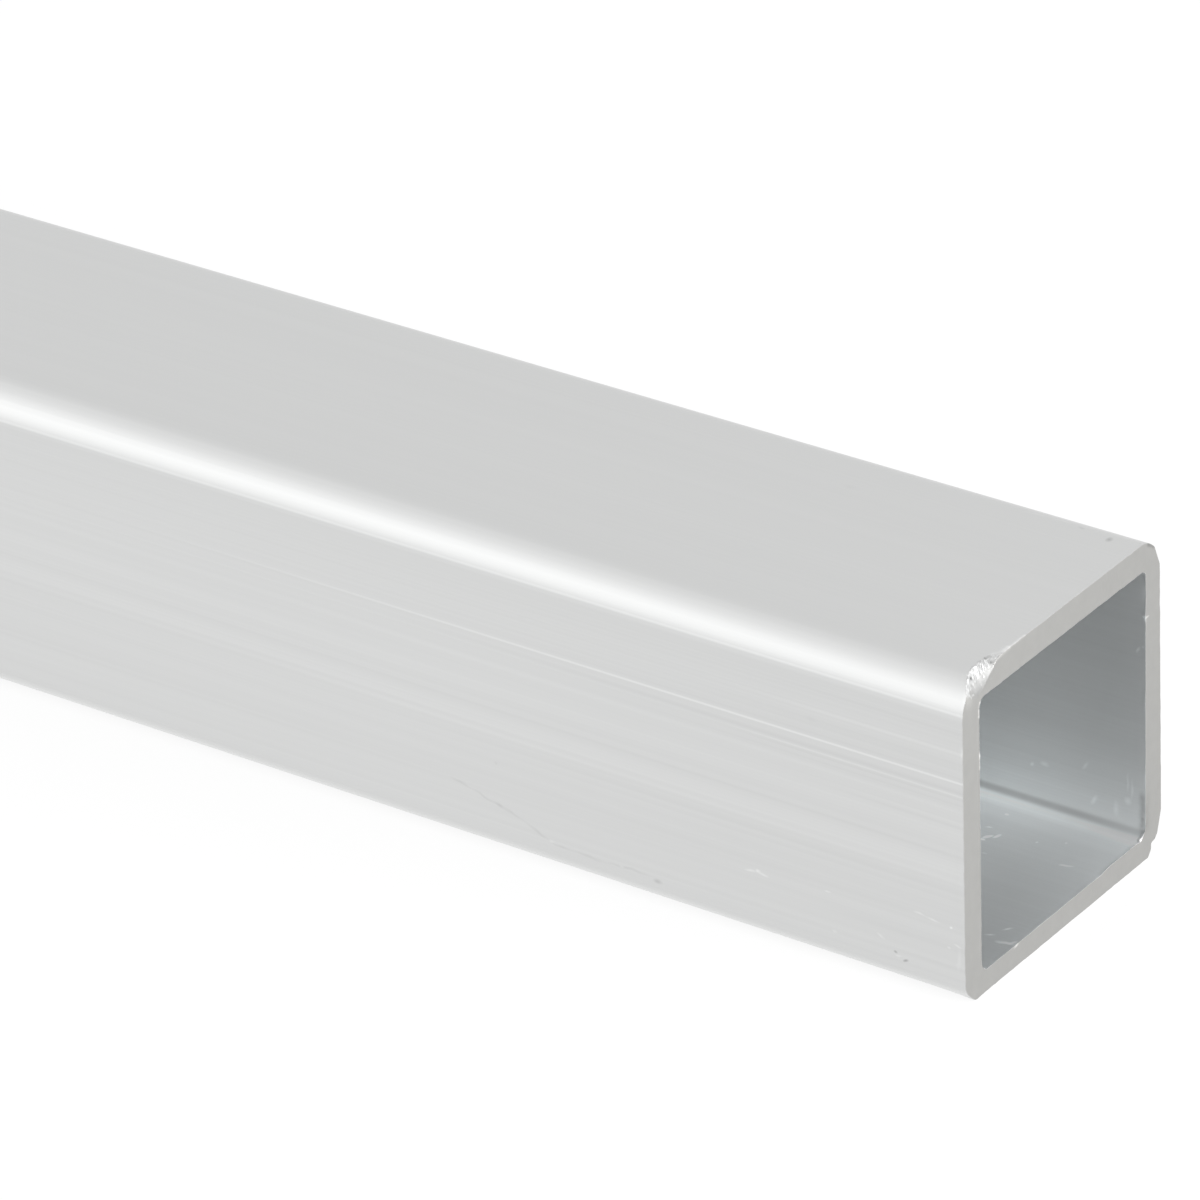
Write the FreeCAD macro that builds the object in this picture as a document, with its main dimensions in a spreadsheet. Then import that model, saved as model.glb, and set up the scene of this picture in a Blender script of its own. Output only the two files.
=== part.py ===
import FreeCAD, Part
import os
from math import cos, pi, radians, sin

import Sketcher

# Square aluminium tube, one straight length of mill-finish stock.
# The tube lies on the floor along X, with the middle of its underside at the
# origin. The end at +X is the one with a corner filed back after sawing.

# Every settable size of the tube, in millimetres and degrees
SIZES = (
    ("side_width", 25.0, "outside width and height of the section"),
    ("wall_thickness", 2.0, "thickness of all four walls"),
    ("outer_radius", 2.5, "radius of the four long outside corners"),
    ("inner_radius", 0.8, "radius of the four long inside corners"),
    ("stock_length", 1000.0, "length as sold"),
    ("edge_break", 0.12, "width of the bevel left round both saw cuts"),
    ("chip_depth", 0.82, "depth of the filed facet, measured on the cut face"),
    ("chip_reach", 0.6, "how far the filed facet runs back along the tube"),
    ("chip_tilt", 17.5, "angle of the file stroke to the top wall"),
    ("chip_overrun", 1.0, "how far the file's wedge passes the metal"),
)

SIDES = ("bottom", "right", "top", "left")


def make_sheet(document):
    """Put every size in the sheet, one to a row, under its own name."""
    sheet = document.addObject("Spreadsheet::Sheet", "sizes")
    for row, (alias, value, meaning) in enumerate(SIZES, start=1):
        sheet.set("A%d" % row, meaning)
        sheet.set("B%d" % row, str(value))
        sheet.setAlias("B%d" % row, alias)
    document.recompute()
    return sheet


def new_sketch(body, name, plane_role):
    """Start a sketch on one of the body's own base planes."""
    sketch = body.newObject("Sketcher::SketchObject", name)
    planes = [plane for plane in body.Origin.OriginFeatures if plane.Role == plane_role]
    sketch.AttachmentSupport = [(planes[0], "")]
    sketch.MapMode = "FlatFace"
    return sketch


def drive(sketch, name, expression, *constraint):
    """Add a dimension to the sketch, name it and tie it to the sheet."""
    index = sketch.addConstraint(Sketcher.Constraint(*constraint))
    sketch.renameConstraint(index, name)
    sketch.setExpression("Constraints." + name, expression)


def rounded_square(sketch, name, width, radius, width_formula, radius_formula):
    """Draw a centred square with four equal round corners, fully constrained.

    Four lines and four arcs run anticlockwise from the bottom line. Every line
    is tangent to the arcs at its ends, so one width and one radius fix it all.
    """
    half = width / 2
    reach = half - radius
    quarter = pi / 2
    line = {}
    arc = {}
    for turn, side in enumerate(SIDES):
        angle = turn * quarter
        along = FreeCAD.Vector(cos(angle), sin(angle), 0)
        out = FreeCAD.Vector(sin(angle), -cos(angle), 0)
        start = out * half - along * reach
        end = out * half + along * reach
        centre = out * reach + along * reach
        circle = Part.Circle(centre, FreeCAD.Vector(0, 0, 1), radius)
        line[side] = sketch.addGeometry(Part.LineSegment(start, end))
        arc[side] = sketch.addGeometry(Part.ArcOfCircle(circle, angle - quarter, angle))

    for turn, side in enumerate(SIDES):
        following = SIDES[(turn + 1) % len(SIDES)]
        sketch.addConstraint(Sketcher.Constraint("Tangent", line[side], 2, arc[side], 1))
        sketch.addConstraint(Sketcher.Constraint("Tangent", arc[side], 2, line[following], 1))
        if side != "bottom":
            sketch.addConstraint(Sketcher.Constraint("Equal", arc["bottom"], arc[side]))

    # The bottom and left lines are centred on the axes, which squares them too
    sketch.addConstraint(Sketcher.Constraint("Symmetric", line["bottom"], 1, line["bottom"], 2, -2))
    sketch.addConstraint(Sketcher.Constraint("Symmetric", line["left"], 1, line["left"], 2, -1))
    sketch.addConstraint(Sketcher.Constraint("Vertical", line["right"]))
    sketch.addConstraint(Sketcher.Constraint("Horizontal", line["top"]))

    drive(sketch, name + "_radius", radius_formula, "Radius", arc["bottom"], radius)
    drive(sketch, name + "_width", width_formula,
          "DistanceX", line["left"], 1, line["right"], 1, width)
    drive(sketch, name + "_height", width_formula,
          "DistanceY", line["bottom"], 1, line["top"], 1, width)


def extrude_section(body, sheet):
    """Push the hollow section through the die: outside, bore and full length."""
    side = sheet.get("side_width")
    bore = side - 2 * sheet.get("wall_thickness")
    section = new_sketch(body, "section", "YZ_Plane")
    rounded_square(section, "outside", side, sheet.get("outer_radius"),
                   "sizes.side_width", "sizes.outer_radius")
    rounded_square(section, "bore", bore, sheet.get("inner_radius"),
                   "sizes.side_width - 2 * sizes.wall_thickness", "sizes.inner_radius")

    tube = body.newObject("PartDesign::Pad", "extrusion")
    tube.Profile = section
    tube.SideType = "Symmetric"
    tube.setExpression("Length", "sizes.stock_length")
    return tube


def break_cut_edges(body, extrusion):
    """Take the sharp edge off both saw cuts, outside and in the bore."""
    ends = []
    for number, face in enumerate(extrusion.Shape.Faces, start=1):
        if abs(face.normalAt(0, 0).x) > 0.99:
            ends.append("Face%d" % number)
    bevel = body.newObject("PartDesign::Chamfer", "broken_edges")
    bevel.Base = (extrusion, ends)
    bevel.setExpression("Size", "sizes.edge_break")
    return bevel


def file_corner(body, sheet):
    """File back the top front corner of the +X end to one slanting facet.

    The stroke runs across the corner, tilted from the top wall. Seen along the
    stroke the file is a wedge. Its slanting side meets the cut face chip_depth
    inside the corner, and leaves the corner chip_reach behind the cut.
    """
    tilt = sheet.get("chip_tilt")
    depth = sheet.get("chip_depth")
    reach = sheet.get("chip_reach")
    overrun = sheet.get("chip_overrun")
    radius = sheet.get("outer_radius")
    end = sheet.get("stock_length") / 2
    to_arc_centre = sheet.get("side_width") / 2 - radius
    crown = to_arc_centre * (cos(radians(tilt)) + sin(radians(tilt))) + radius

    # The highest point of the round corner, measured square to the stroke
    crown_formula = ("((sizes.side_width / 2 - sizes.outer_radius)"
                     " * (cos(sizes.chip_tilt * 1deg) + sin(sizes.chip_tilt * 1deg))"
                     " + sizes.outer_radius)")
    slope_formula = "(sizes.chip_depth / sizes.chip_reach)"
    end_formula = "sizes.stock_length / 2"

    wedge = new_sketch(body, "file_stroke", "XZ_Plane")
    turn = FreeCAD.Rotation(FreeCAD.Vector(1, 0, 0), tilt)
    wedge.AttachmentOffset = FreeCAD.Placement(FreeCAD.Vector(), turn)
    wedge.setExpression("AttachmentOffset.Rotation.Angle", "sizes.chip_tilt * 1deg")

    slope = depth / reach
    back = FreeCAD.Vector(end - reach - overrun / slope, crown + overrun, 0)
    low = FreeCAD.Vector(end + overrun, crown - depth - overrun * slope, 0)
    clear = FreeCAD.Vector(low.x, back.y, 0)
    facet = wedge.addGeometry(Part.LineSegment(back, low))
    front = wedge.addGeometry(Part.LineSegment(low, clear))
    above = wedge.addGeometry(Part.LineSegment(clear, back))
    wedge.addConstraint(Sketcher.Constraint("Coincident", facet, 2, front, 1))
    wedge.addConstraint(Sketcher.Constraint("Coincident", front, 2, above, 1))
    wedge.addConstraint(Sketcher.Constraint("Coincident", above, 2, facet, 1))
    wedge.addConstraint(Sketcher.Constraint("Vertical", front))
    wedge.addConstraint(Sketcher.Constraint("Horizontal", above))
    drive(wedge, "past_the_cut", end_formula + " + sizes.chip_overrun",
          "DistanceX", -1, 1, facet, 2, low.x)
    drive(wedge, "above_the_corner", crown_formula + " + sizes.chip_overrun",
          "DistanceY", -1, 1, facet, 1, back.y)
    drive(wedge, "back_along_the_tube",
          end_formula + " - sizes.chip_reach - sizes.chip_overrun / " + slope_formula,
          "DistanceX", -1, 1, facet, 1, back.x)
    drive(wedge, "down_the_cut_face",
          crown_formula + " - sizes.chip_depth - sizes.chip_overrun * " + slope_formula,
          "DistanceY", -1, 1, facet, 2, low.y)

    stroke = body.newObject("PartDesign::Pocket", "filed_corner")
    stroke.Profile = wedge
    stroke.SideType = "Symmetric"
    stroke.setExpression("Length", "2 * sizes.side_width")
    return stroke


def check_document(document):
    """Stop if any object of the document failed to build."""
    for item in document.Objects:
        if "Invalid" in item.State or "Error" in item.State:
            raise SystemExit("%s did not build: %s" % (item.Label, item.State))
        if item.TypeId == "Sketcher::SketchObject" and not item.FullyConstrained:
            raise SystemExit("%s is not fully constrained" % item.Label)


def write_part(body, folder):
    """Write one checked solid to its own STEP file, named after its label."""
    shape = body.Shape
    if shape.isNull() or not shape.isValid() or len(shape.Solids) != 1:
        raise SystemExit("%s is not one valid solid" % body.Label)
    os.makedirs(folder, exist_ok=True)
    shape.exportStep(os.path.join(folder, body.Label + ".step"))


def main():
    """Build the tube, check each step took metal off, and write it."""
    document = FreeCAD.newDocument("square_tube_stock")
    sheet = make_sheet(document)

    body = document.addObject("PartDesign::Body", "square_tube")
    body.Label = "square_tube"
    body.setExpression("Placement.Base.z", "sizes.side_width / 2")

    extrusion = extrude_section(body, sheet)
    document.recompute()
    bevel = break_cut_edges(body, extrusion)
    document.recompute()
    filed = file_corner(body, sheet)
    document.recompute()

    check_document(document)
    volumes = [step.Shape.Volume for step in (extrusion, bevel, filed)]
    if not volumes[0] > volumes[1] > volumes[2] > 0:
        raise SystemExit("a cut took no metal away: %s" % volumes)

    box = body.Shape.BoundBox
    print("volume after each step, mm3:", [round(volume, 3) for volume in volumes])
    print("box, mm:", [round(length, 3) for length in (box.XLength, box.YLength, box.ZLength)])
    write_part(body, "parts")


main()
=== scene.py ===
import logging
from dataclasses import dataclass
from enum import Enum
from math import atan2, cos, degrees, hypot, pi, radians, sin, tan
from typing import Any, Sequence, Union

import bpy
import numpy as np
from mathutils import Matrix, Vector


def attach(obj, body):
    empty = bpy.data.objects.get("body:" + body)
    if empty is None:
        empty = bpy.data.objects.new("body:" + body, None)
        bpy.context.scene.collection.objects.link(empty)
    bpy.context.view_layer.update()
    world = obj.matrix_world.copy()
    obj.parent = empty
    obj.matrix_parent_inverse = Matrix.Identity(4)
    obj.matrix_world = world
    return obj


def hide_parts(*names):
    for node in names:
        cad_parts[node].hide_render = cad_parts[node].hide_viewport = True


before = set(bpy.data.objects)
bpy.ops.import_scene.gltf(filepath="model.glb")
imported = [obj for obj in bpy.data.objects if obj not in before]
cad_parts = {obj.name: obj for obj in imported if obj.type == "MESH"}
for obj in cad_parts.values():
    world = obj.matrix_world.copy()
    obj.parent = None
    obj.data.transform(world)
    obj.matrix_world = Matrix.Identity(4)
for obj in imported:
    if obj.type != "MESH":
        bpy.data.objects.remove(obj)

# One straight length of square aluminium tube, as drawn through the die and
# sawn off. Shapes are worked out in millimetres and stored in metres.

LOG = logging.getLogger("square_tube")
MM = 0.001
# The photographed cut is this far from the middle of the length, in mm
END = 500.0
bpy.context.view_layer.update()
NODE = "square_tube"
# The move of a nick, painted shadow or painted highlight that only changes the tone
STILL = (0.0, 0.0, 0.0)
# Keeps a division by a length away from zero
TINY = 1e-9
# A scratch's marks are this much of their run long to both sides, so they overlap
OVERLAP = 0.62
# A mark reaches this many half widths through its face
THROUGH = 4

Array = np.ndarray
Socket = bpy.types.NodeSocket
Number = Union["Shade", float]
Pair = tuple[float, float]
Triple = tuple[float, float, float]
Four = tuple[float, float, float, float]


class Wall(Enum):
    """The four walls, anticlockwise as seen from the photographed end."""

    UNDER = 0
    BACK = 1
    TOP = 2
    FRONT = 3

    @property
    def along(self) -> Array:
        """Way round the section on this wall, as (y, z)."""
        angle = self.value * pi / 2
        return np.array([cos(angle), sin(angle)])

    @property
    def out(self) -> Array:
        """Outward direction of this wall, as (y, z)."""
        angle = self.value * pi / 2
        return np.array([sin(angle), -cos(angle)])


@dataclass(frozen=True)
class Loop:
    """One closed line of the section: a square with four round corners.

    Corner k lies between wall k and wall k + 1. A wall's inset moves the whole
    wall towards the middle of the section.
    """

    side: float
    radii: Four
    insets: Four = (0.0, 0.0, 0.0, 0.0)

    def trace(self, flat: Sequence[Array], arcs: Sequence[Array]) -> tuple[Array, Array]:
        """Walk round the loop, wall by wall and corner by corner.

        A flat runs between the ends of its two corner arcs. On an arc the point
        is the arc's centre plus the radius times the outward direction turned
        through the arc's angle.

        Args:
            flat: for each wall, fractions from 0 to 1 along its flat.
            arcs: for each corner, fractions from 0 to 1 round it.

        Returns:
            The points and the outward normals, each an array of (y, z) rows.
        """
        half = self.side / 2
        points, normals = [], []
        for wall in Wall:
            ahead = Wall((wall.value + 1) % 4)
            behind = Wall((wall.value - 1) % 4)
            out = half - self.insets[wall.value]
            radius = self.radii[wall.value]
            start = -(half - self.insets[behind.value] - self.radii[behind.value])
            end = half - self.insets[ahead.value] - radius
            reach = (start + (end - start) * flat[wall.value])[:, None]
            points.append(out * wall.out + reach * wall.along)
            normals.append(np.broadcast_to(wall.out, (len(reach), 2)))
            angle = (arcs[wall.value] * pi / 2)[:, None]
            turned = np.cos(angle) * wall.out + np.sin(angle) * wall.along
            points.append((out - radius) * wall.out + end * wall.along + radius * turned)
            normals.append(turned)
        return np.concatenate(points), np.concatenate(normals)


@dataclass(frozen=True)
class NickAndPaintedLight:
    """A burr, pit, dent or pulled tip at the +X cut, or a patch of painted shadow or highlight there.

    It follows a short line of the section from start to stop, both (y, z), at
    size to all sides. Its middle sits behind the cut by so much, and it reaches
    so far from there. Tone is the share that it adds to the colour.
    """

    start: Pair
    stop: Pair
    size: float
    behind: float
    reach: float
    move: Triple
    tone: float = 0.0

    def weight(self, place: Array) -> Array:
        """Weigh the points near the nick.

        The weight is a bell of the distance from the line, seen along the tube,
        times a bell of the distance along the tube from the nick's own place.

        Args:
            place: points as rows of (x, y, z).

        Returns:
            One weight from 0 to 1 for each point.
        """
        start, line = np.array(self.start), np.subtract(self.stop, self.start)
        length = max(float(line @ line), TINY)
        share = np.clip((place[:, 1:] - start) @ line / length, 0.0, 1.0)
        aside = np.linalg.norm(place[:, 1:] - start - share[:, None] * line, axis=1)
        back = END - place[:, 0] - self.behind
        return np.exp(-(aside / self.size) ** 2 - (back / self.reach) ** 2)


def ripple(place: Array, wavelength: float, seed: int, waves: int = 24) -> Array:
    """Smooth random relief of about unit height.

    The sum of sine waves in random directions, with wavelengths spread to half
    and twice the one asked for, divided by the square root of half their count.

    Args:
        place: points as rows of (x, y, z).
        wavelength: typical wavelength, in the unit of the points.
        seed: starts the random draw.
        waves: how many waves are added.

    Returns:
        One height for each point.
    """
    draw = np.random.default_rng(seed)
    heading = draw.normal(size=(waves, 3))
    heading /= np.linalg.norm(heading, axis=1)[:, None]
    length = wavelength * 2.0 ** draw.uniform(-1, 1, waves)
    phase = draw.uniform(0, 2 * pi, waves)
    angle = place @ (heading * (2 * pi / length[:, None])).T + phase
    return np.sin(angle).sum(axis=1) / np.sqrt(waves / 2)


def smooth(low: float, high: float, value: Array) -> Array:
    """Ease from 0 at low to 1 at high: t squared times (3 - 2 t)."""
    t = np.clip((value - low) / (high - low), 0.0, 1.0)
    return t * t * (3 - 2 * t)


@dataclass(frozen=True)
class Flat:
    """A small flat left on an outer corner of the cut, dying out behind it.

    Its line in the section stands at offset from the middle, square to the
    direction turn, counted from +Y towards +Z.
    """

    turn: float
    offset: float
    slope: float = 0.45

    def apply(self, place: Array, middle: float) -> Array:
        """Move points beyond the flat onto it: p - max(p.n - offset - slope back, 0) n.

        Args:
            place: points as rows of (x, y, z).
            middle: z of the middle of the section.

        Returns:
            The moved points.
        """
        normal = np.array([0.0, cos(radians(self.turn)), sin(radians(self.turn))])
        back = END - place[:, 0]
        beyond = (place - np.array([0.0, 0.0, middle])) @ normal - self.offset - self.slope * back
        return place - np.maximum(beyond, 0)[:, None] * normal


@dataclass(frozen=True)
class Facet:
    """The filed corner: rolled over from cut to skin, smooth at first, then torn.

    It is laid out round a centre as (y, z), by angles from +Y towards +Z. At
    each angle the cut loses some depth, and the loss ends at the reach behind
    the cut: loss = depth (1 - back / reach) ** roll. A pair says where a mask
    starts and where it is full, and a share is back / reach.
    """

    centre: Pair = (-9.4, 21.9)
    roll: float = 1.5
    # Angle, depth and reach
    layout: tuple[Triple, ...] = (
        (52, 0.0, 0.15), (58, 0.06, 0.2), (64, 0.17, 0.36), (70, 0.24, 0.62), (72.5, 0.64, 0.72),
        (79, 0.84, 0.71), (85, 1.04, 0.7), (96, 1.31, 0.72), (108, 1.46, 0.78), (118, 1.46, 0.64),
        (126, 1.45, 0.46), (133, 1.43, 0.3), (140, 1.42, 0.13), (147, 1.4, 0.04), (156, 1.3, 0.03),
        (163, 0.6, 0.03), (170, 0.0, 0.03),
    )
    # The layout is averaged over this many degrees to both sides, in samples
    blur: float = 2.5
    samples: int = 5
    # The corner's points are this near the cut, and beyond this (y, z)
    corner_length: float = 3.0
    corner_edge: Pair = (-6.5, 18.0)
    # Newton steps onto the surface, which ends where the loss is below the least
    steps: int = 4
    least_loss: float = 1e-4
    # Extent of the torn strip by share, depth and reach, and its ragged edge
    torn_start: Pair = (0.22, 0.4)
    torn_stop: Pair = (0.85, 1.1)
    torn_depth: Pair = (0.08, 0.2)
    torn_reach: Pair = (0.06, 0.16)
    ragged: float = 0.1
    ragged_wave: float = 0.3
    # The strip starts later by this share down the front, between two y
    down_front: Pair = (-9.0, -11.6)
    drop: float = 0.18
    # Extent of the smooth strip, by the height filed off and the reach
    filed_height: Pair = (-0.02, 0.03)
    filed_reach: Pair = (0.05, 0.4)
    # Relief of the torn strip, and how far it sinks
    relief: float = 0.008
    relief_wave: float = 0.26
    sink: float = 0.004
    # Tones of the torn strip: all of it, down the front as painted highlight, and at its far side
    torn_tone: Triple = (-0.12, 0.3, -0.08)
    far_side: Pair = (0.5, 0.9)
    flecks: float = 0.11
    fleck_wave: float = 0.2
    # Painted shade on the smooth strip beside the sawn face: its tone, and where it fades
    painted_edge_shade: float = -0.2
    edge_fade: Pair = (0.02, 0.2)

    def polar(self, section: Array) -> tuple[Array, Array]:
        """Angle in degrees and distance of (y, z) rows from the centre."""
        y, z = section[:, 0] - self.centre[0], section[:, 1] - self.centre[1]
        return np.degrees(np.arctan2(z, y)), np.hypot(y, z)

    def spread(self, angle: Array) -> tuple[Array, Array]:
        """Look up the layout, averaged over a few degrees.

        Args:
            angle: angles in degrees.

        Returns:
            The depth and the reach at each angle.
        """
        at, depth, reach = np.array(self.layout).T
        near = angle[:, None] + np.linspace(-self.blur, self.blur, self.samples)
        return np.interp(near, at, depth).mean(axis=1), np.interp(near, at, reach).mean(axis=1)

    def above(self, place: Array, outline: Array) -> tuple[Array, Array]:
        """Work out how far points stand above the rolled surface.

        With d for the distance from the centre and o for the outline's, the
        height is f = d - o + loss, divided by the length of its gradient.

        Args:
            place: points as rows of (x, y, z).
            outline: the section's outline as rows of (y, z).

        Returns:
            The heights, and the outward normals.
        """
        angle, distance = self.polar(place[:, 1:])
        around, skin = self.polar(outline)
        order = np.argsort(around)
        depth, reach = self.spread(angle)
        left = np.clip(1 - (END - place[:, 0]) / reach, 0.0, None)
        loss = depth * left ** self.roll
        rise = depth / reach * self.roll * left ** (self.roll - 1)
        steep = np.hypot(1.0, rise)
        turn = np.radians(angle)
        normal = np.stack([rise, np.cos(turn), np.sin(turn)], axis=1) / steep[:, None]
        height = distance - np.interp(angle, around[order], skin[order]) + loss
        return np.where(loss > self.least_loss, height / steep, -1.0), normal

    def apply(self, place: Array, outline: Array, skin: dict[str, Array]) -> Array:
        """Drop the points above the surface onto it, and roughen the torn strip.

        Args:
            place: points as rows of (x, y, z).
            outline: the section's outline as rows of (y, z).
            skin: masks of the skin. "filed" is added and "worn" changed.

        Returns:
            The moved points.
        """
        side, top = self.corner_edge
        corner = (place[:, 0] > END - self.corner_length) & (place[:, 1] < side) & (place[:, 2] > top)
        part = place[corner]
        filed_off = self.above(part, outline)[0]
        for _ in range(self.steps):
            height, normal = self.above(part, outline)
            part = part - np.maximum(height, 0)[:, None] * normal
        back = END - part[:, 0]
        depth, reach = self.spread(self.polar(part[:, 1:])[0])
        share = back / reach + self.ragged * ripple(part, self.ragged_wave, seed=13)
        down = smooth(*self.down_front, part[:, 1])
        torn = smooth(*self.torn_start, share - self.drop * down) * (1 - smooth(*self.torn_stop, share))
        torn = torn * smooth(*self.torn_depth, depth) * smooth(*self.torn_reach, reach)
        torn = torn * (1 - skin["bore"][corner])
        filed = smooth(*self.filed_height, filed_off) * smooth(*self.filed_reach, reach) * (1 - torn)
        # Torn strip tone, lighter down the front as painted highlight, and painted shade on the smooth
        # strip beside the sawn face
        plain, low, far = self.torn_tone
        tone = plain + low * down + far * smooth(*self.far_side, share)
        tone = tone + self.flecks * ripple(part, self.fleck_wave, seed=5)
        rim = filed * (1 - smooth(*self.edge_fade, back))
        skin["filed"] = np.zeros(len(place))
        skin["filed"][corner] = filed
        skin["cut"][corner] *= 1 - torn
        skin["wear_and_painted_light"][corner] += torn * tone + self.painted_edge_shade * rim
        rough = torn * (ripple(part, self.relief_wave, seed=11) * self.relief - self.sink)
        place = place.copy()
        place[corner] = part + rough[:, None] * normal
        return place


@dataclass
class SquareTube:
    """The tube as one closed skin: outside, cut faces and bore."""

    side: float = 25.0
    wall: float = 2.0
    length: float = 2 * END
    # Corners are back bottom, back top, front top and front bottom
    outer_radii: Four = (1.9, 2.6, 3.1, 1.97)
    inner_radii: Four = (0.9, 0.55, 0.7, 0.8)
    # The bore sits low and to the back, so the walls are not quite equal
    bore_insets: Four = (-0.27, -0.02, 0.15, 0.06)
    outer_insets: Four = (0.0, 0.04, 0.0, 0.0)
    # How far the walls lean at the top, against the middle of their height
    outer_lean: float = 0.07
    bore_skew: float = 0.07
    outer_bevel: float = 0.05
    inner_bevel: float = 0.02
    flat_columns: int = 64
    arc_columns: tuple[int, int, int, int] = (44, 44, 64, 36)
    # Across each die ridge: columns, and the half widths that they reach to
    ridge_columns: int = 7
    ridge_span: float = 1.8
    # More columns on the top flat, from this share of it to the filed corner
    fine_columns: int = 70
    fine_from: float = 0.72
    # Rows close behind the cut, outside and in the bore: step and count
    outer_step: float = 0.045
    inner_step: float = 0.0675
    close_rows: tuple[int, int] = (22, 12)
    # Rows at growing steps: the first one, the gap left at the far end, and count
    far_first: float = 1.2
    far_gap: float = 1.0
    far_rows: int = 12
    # Rows over a bevel and across the cut face, at the near and the far end
    near_cut: tuple[int, int] = (4, 30)
    far_cut: tuple[int, int] = (2, 4)
    # The bore's finish sets in over these shares of the cut face
    bore_share: Pair = (0.9, 1.0)
    # The die left raised lines along the front wall: height and half width
    die_ridges: tuple[Pair, ...] = (
        (22.42, 0.07), (19.6, 0.09), (17.37, 0.055), (16.33, 0.05), (15.1, 0.09), (9.63, 0.09),
    )
    ridge_rise: float = 0.006
    # A ridge stands only this close to the front wall's plane
    ridge_band: float = 0.2
    # Ripple of the sawn edges: height, wavelength and reach behind the cut
    edge_wobble: Triple = (0.012, 0.9, 0.25)
    # The tones of every nick, painted shadow and painted highlight vary by this share, at this
    # wavelength
    tone_uneven: Pair = (0.15, 0.45)
    facet: Facet = Facet()
    # One flat on the back top corner, and the side and heel of the one below
    flats: tuple[Flat, ...] = (
        Flat(22.2, 15.23),
        Flat(-17.0, 14.68),
        Flat(-40.7, 16.28),
    )
    nicks_and_painted_light: tuple[NickAndPaintedLight, ...] = (
        # Pulled tips, a notch, a painted shadow and fills at the corners of the cut
        NickAndPaintedLight((-11.35, 0.1), (-11.35, 0.1), 0.5, 0.0, 1.2, (0.06, -0.1, -0.06)),
        NickAndPaintedLight((11.4, 0.8), (11.4, 0.8), 0.28, 0.0, 0.9, (0.0, -0.22, 0.18)),
        NickAndPaintedLight((10.85, 24.68), (11.6, 24.18), 0.13, 0.0, 0.2, STILL, -0.25),
        NickAndPaintedLight((5.5, 1.8), (9.2, 1.85), 0.4, 0.0, 0.12, (0.0, 0.0, 0.14)),
        NickAndPaintedLight((10.3, 1.95), (10.3, 1.95), 0.35, 0.0, 0.12, (0.0, -0.06, 0.06)),
        # Painted highlight on the bevel along the top edge, in two runs
        NickAndPaintedLight((-8.3, 24.88), (-6.6, 24.98), 0.16, 0.06, 0.2, STILL, 0.26),
        NickAndPaintedLight((-6.6, 25.0), (-4.7, 25.0), 0.1, 0.03, 0.1, STILL, 0.2),
        # Tip, burrs, flecks and a stain on the bore's rim
        NickAndPaintedLight((-10.28, 22.55), (-10.34, 22.3), 0.1, 0.0, 0.12, (0.02, 0.02, 0), 0.9),
        NickAndPaintedLight((-10.42, 22.1), (-10.46, 21.55), 0.07, 0.0, 0.12, (0.02, 0.0, 0), 0.75),
        NickAndPaintedLight((-10.4, 18.6), (-10.4, 18.45), 0.08, 0.0, 0.15, (0.03, 0.02, 0), 0.9),
        NickAndPaintedLight((-10.4, 18.4), (-10.42, 17.6), 0.07, 0.0, 0.1, (0.02, 0.0, 0), 0.4),
        NickAndPaintedLight((10.14, 2.1), (9.94, 1.84), 0.14, 0.14, 0.1, (0.0, -0.13, 0.1), 0.85),
        NickAndPaintedLight((10.5, 19.3), (10.5, 18.8), 0.07, 0.05, 0.12, (0.0, -0.03, 0.0), 0.9),
        NickAndPaintedLight((-6.35, 1.64), (-6.1, 1.64), 0.09, 0.0, 0.12, (0.02, 0.0, 0.03), 0.9),
        NickAndPaintedLight((10.52, 2.5), (10.52, 4.8), 0.45, 0.25, 0.24, STILL, -0.26),
        # Fleck on the front edge
        NickAndPaintedLight((-12.5, 19.9), (-12.5, 19.4), 0.1, 0.05, 0.1, STILL, 0.12),
        # Painted highlight on the foot and a low patch, pits and flecks of the filed corner
        NickAndPaintedLight((-11.7, 23.75), (-11.6, 23.2), 0.42, 0.0, 0.2, STILL, 0.18),
        NickAndPaintedLight((-10.62, 24.42), (-10.62, 24.25), 0.12, 0.5, 0.09, (0.0, 0.02, -0.05), -0.85),
        NickAndPaintedLight((-8.48, 24.8), (-8.6, 24.76), 0.1, 0.25, 0.08, (0.0, 0.0, -0.03), -0.5),
        NickAndPaintedLight((-8.2, 24.95), (-7.9, 24.97), 0.2, 0.4, 0.2, STILL, 0.14),
        NickAndPaintedLight((-11.2, 23.85), (-11.2, 23.85), 0.1, 0.3, 0.08, (0.0, 0.02, -0.02), -0.25),
        NickAndPaintedLight((-10.65, 23.65), (-10.6, 23.95), 0.28, 0.12, 0.3, STILL, 0.13),
        NickAndPaintedLight((-9.5, 24.4), (-9.45, 24.42), 0.09, 0.28, 0.07, (0.0, 0.0, 0.01), 0.25),
        NickAndPaintedLight((-11.07, 23.72), (-11.07, 23.72), 0.09, 0.26, 0.07, (0.0, 0.0, 0.01), 0.3),
    )

    def columns(self) -> tuple[list[Array], list[Array]]:
        """Choose where the columns stand round the section.

        On a flat they bunch towards both ends as a half cosine. The top wall
        has more beside the filed corner, and the front wall more across each
        die ridge.

        Returns:
            The fractions along each flat, and those round each corner.
        """
        plain = (1 - np.cos(np.linspace(0, pi, self.flat_columns + 1)[:-1])) / 2
        high = self.side - self.outer_radii[Wall.TOP.value]
        flat_height = high - self.outer_radii[Wall.FRONT.value]
        across = np.linspace(-self.ridge_span, self.ridge_span, self.ridge_columns)
        ridges = [high - (middle + across * wide) for middle, wide in self.die_ridges]
        ridges = np.concatenate(ridges) / flat_height
        front = np.union1d(plain, ridges[(ridges > 0) & (ridges < 1)])
        top = np.union1d(plain, np.linspace(self.fine_from, 1, self.fine_columns + 1)[:-1])
        arcs = [np.linspace(0, 1, count + 1)[:-1] for count in self.arc_columns]
        return [plain, plain, top, front], arcs

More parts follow.
